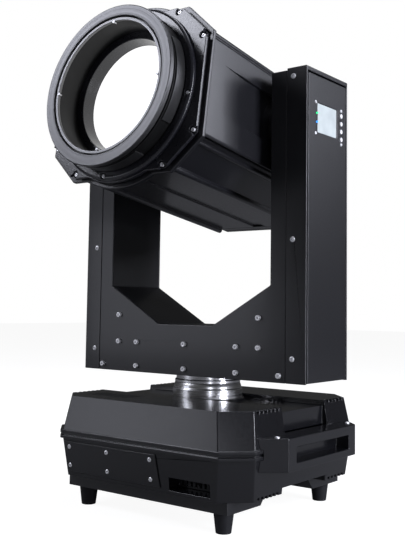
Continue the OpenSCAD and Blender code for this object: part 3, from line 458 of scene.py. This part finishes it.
# Rounded copies of the CAD parts, by edge radius
for n in ("yoke_front_plate", "yoke_rear_plate", "arm_cover_left", "arm_cover_right", "side_panel_left",
          "side_panel_right"):
    soften(n, 1.0 * MM)
for n in ("head_shell", "head_side_panels", "handle_left", "handle_right", "rear_cover"):
    soften(n, 1.1 * MM)
for n in ("base_upper_shell", "base_lower_shell"):
    soften(n, 0.8 * MM, merge=False)
for n in ("base_tray", "access_cover", "connector_plate", "vent_panel"):
    soften(n, 0.6 * MM)
for n in ("head_front_plate", "hood_flange"):
    soften(n, 0.9 * MM, mat=FLANGE_PAINT)
for n in ("head_gasket", "yoke_frame", "rubber_feet", "display_window",
          "pan_collar", "fan_frame", "power_inlet", "data_sockets"):
    soften(n, 0.5 * MM)
soften("tilt_hubs", 0.5 * MM, mat=MATS["head_metal"])
for n in ("plate_screws", "head_screws", "menu_button_1", "menu_button_2", "menu_button_3", "menu_button_4"):
    soften(n, 0.2 * MM, 2)

# Screw heads: corners round the head, stub below the seat, socket depth, and the dome's outline
# as shares of its radius and its height
SCREW_SIDES = 24
STUB = 1.8 * MM
SOCKET = 1.4 * MM
DOME = ((1, 0), (1, 0.25), (0.9, 0.62), (0.7, 0.92), (0.56, 1))
for n, grow, rise in (("cover_screws", 1.25, 1.4), ("base_screws", 1.1, 1.6)):
    for i, pts in enumerate(loose_parts(n)):
        button_screw("%s_head_%d" % (n, i + 1), n, pts, grow, rise * MM, MATS["screw_steel"])

# Status lights: green above, blue below
lights = sorted(loose_parts("status_lights"), key=lambda pts: -pts[0].z)
for i, (pts, mat) in enumerate(zip(lights, (MATS["light_plastic"], LIGHT_BLUE))):
    button_screw("status_light_%d" % (i + 1), "status_lights", pts, 1, 1 * MM, mat)

# The hood: a satin faced ring on a dark turned barrel, with four raised panels round the barrel
RING_STEPS = 192
HOOD_F, HOOD_R = 230.5, 110
FACE_F, BARREL_R, BORE_R = 191, 106.5, 89.5
PANEL_HALF = 31
turned("hood_front_ring", [
    (95, HOOD_F - 7), (95, HOOD_F), (HOOD_R, HOOD_F), (HOOD_R, HOOD_F - 7),
    (HOOD_R - 5, HOOD_F - 8.5), (HOOD_R - 5, HOOD_F - 12), (100, HOOD_F - 12),
], "hood_metal", "lens_hood", RING_FACE, width=1.1)
turned("hood_barrel", [
    (BORE_R, FACE_F), (BORE_R, HOOD_F - 6), (96, HOOD_F - 6), (101, HOOD_F - 12.5),
    (BARREL_R, HOOD_F - 12.5), (BARREL_R, FACE_F),
], "hood_metal", "lens_hood", BARREL)
for k in range(4):
    turned("barrel_panel_%d" % (k + 1), [
        (BARREL_R - 0.5, FACE_F + 9), (BARREL_R + 2, FACE_F + 9),
        (BARREL_R + 2, FACE_F + 25), (BARREL_R - 0.5, FACE_F + 25),
    ], "hood_metal", "lens_hood", PANEL_FACE, (90 * k - PANEL_HALF, 90 * k + PANEL_HALF), 0.7)
# The retaining ring inside the hood, in the lighter copy of the ring metal whose extra brightness is a
# painted highlight.
turned("inner_ring", [
    (BORE_R, HOOD_F - 6), (93.2, HOOD_F - 6), (93.2, HOOD_F - 1.5), (BORE_R, HOOD_F - 1.5),
], SLOT_OF["retaining_ring"], "retaining_ring", RING_PAINTED_HIGHLIGHT, width=0.5)
soften("front_lens", 0.3 * MM)

# ---------------------------------------------------------------- stage


def glow_for_camera(tree, socket, plain, to_camera):
    """Feed a strength that is plain for the light in the scene, and another seen directly."""
    path = tree.nodes.new("ShaderNodeLightPath")
    pick = tree.nodes.new("ShaderNodeMapRange")
    pick.inputs["To Min"].default_value = plain
    pick.inputs["To Max"].default_value = to_camera
    tree.links.new(path.outputs["Is Camera Ray"], pick.inputs["Value"])
    tree.links.new(pick.outputs["Result"], socket)


floor_me = bpy.data.meshes.new("floor")
bm = bmesh.new()
bmesh.ops.create_grid(bm, x_segments=4, y_segments=4, size=9)
bm.to_mesh(floor_me)
bm.free()
floor = bpy.data.objects.new("floor", floor_me)
scene.collection.objects.link(floor)
fm = Mat("floor_white")
fm.set(Roughness=0.7, Specular_IOR_Level=0.2)
fm.s.inputs["Emission Color"].default_value = (1, 1, 1, 1)
glow_for_camera(fm.t, fm.s.inputs["Emission Strength"], 0.0, 0.93)
fm.tint(fm.noise(3, 2), (0.24, 0.24, 0.24), (0.26, 0.26, 0.26))
floor.data.materials.append(fm.m)

world = bpy.data.worlds.new("studio")
scene.world = world
world.use_nodes = True
sky = world.node_tree.nodes["Background"]
sky.inputs["Color"].default_value = (1, 1, 1, 1)
glow_for_camera(world.node_tree, sky.inputs["Strength"], 0.05, 1.0)


def lamp(name, place, aim, size, power, high=None):
    """A soft rectangular studio lamp, faintly blue, aimed at a point."""
    d = bpy.data.lights.new(name, "AREA")
    d.energy = power
    d.color = (0.87, 0.89, 1.0)
    d.shape = "RECTANGLE"
    d.size = size
    d.size_y = high or size
    ob = bpy.data.objects.new(name, d)
    scene.collection.objects.link(ob)
    ob.location = place
    ob.rotation_euler = (Vector(aim) - Vector(place)).to_track_quat("-Z", "Y").to_euler()


lamp("key", (-1.7, -1.6, 1.9), (0, 0, 0.35), 0.9, 30)
lamp("side", (2.3, 0.1, 0.8), (0, 0, 0.4), 0.45, 62, high=1.6)
lamp("top", (0.2, 0.3, 2.4), (0, 0, 0.3), 1.2, 26)
lamp("back", (1.45, 1.1, 1.1), (0.12, -0.15, 0.55), 0.55, 10, high=0.8)
lamp("rim", (1.6, -1.5, 0.35), (0, 0, 0.5), 0.16, 4, high=0.9)
lamp("low", (-1.3, -1.6, 0.35), (0, 0, 0.35), 0.7, 2, high=0.5)

scene.view_settings.view_transform = "Standard"
scene.view_settings.look = "None"

# ---------------------------------------------------------------- camera

yaw, pitch, roll = radians(37.82), radians(4.38), radians(0.82)
fwd = Vector((-sin(yaw) * cos(pitch), cos(yaw) * cos(pitch), sin(pitch)))
right = Vector((cos(yaw), sin(yaw), 0))
up = right.cross(fwd)
r2 = cos(roll) * right + sin(roll) * up
u2 = -sin(roll) * right + cos(roll) * up
place = Vector((0.7533, -0.9860, 0.2834))
cam_d = bpy.data.cameras.new("view")
cam = bpy.data.objects.new("view", cam_d)
scene.collection.objects.link(cam)
scene.camera = cam
cam.matrix_world = Matrix((
    (r2.x, u2.x, -fwd.x, place.x),
    (r2.y, u2.y, -fwd.y, place.y),
    (r2.z, u2.z, -fwd.z, place.z),
    (0, 0, 0, 1),
))
cam_d.sensor_fit = "VERTICAL"
cam_d.sensor_height = 36
cam_d.lens = 55.4867
cam_d.shift_x = -0.0012037
cam_d.shift_y = -0.0502407
cam_d.clip_start = 0.01
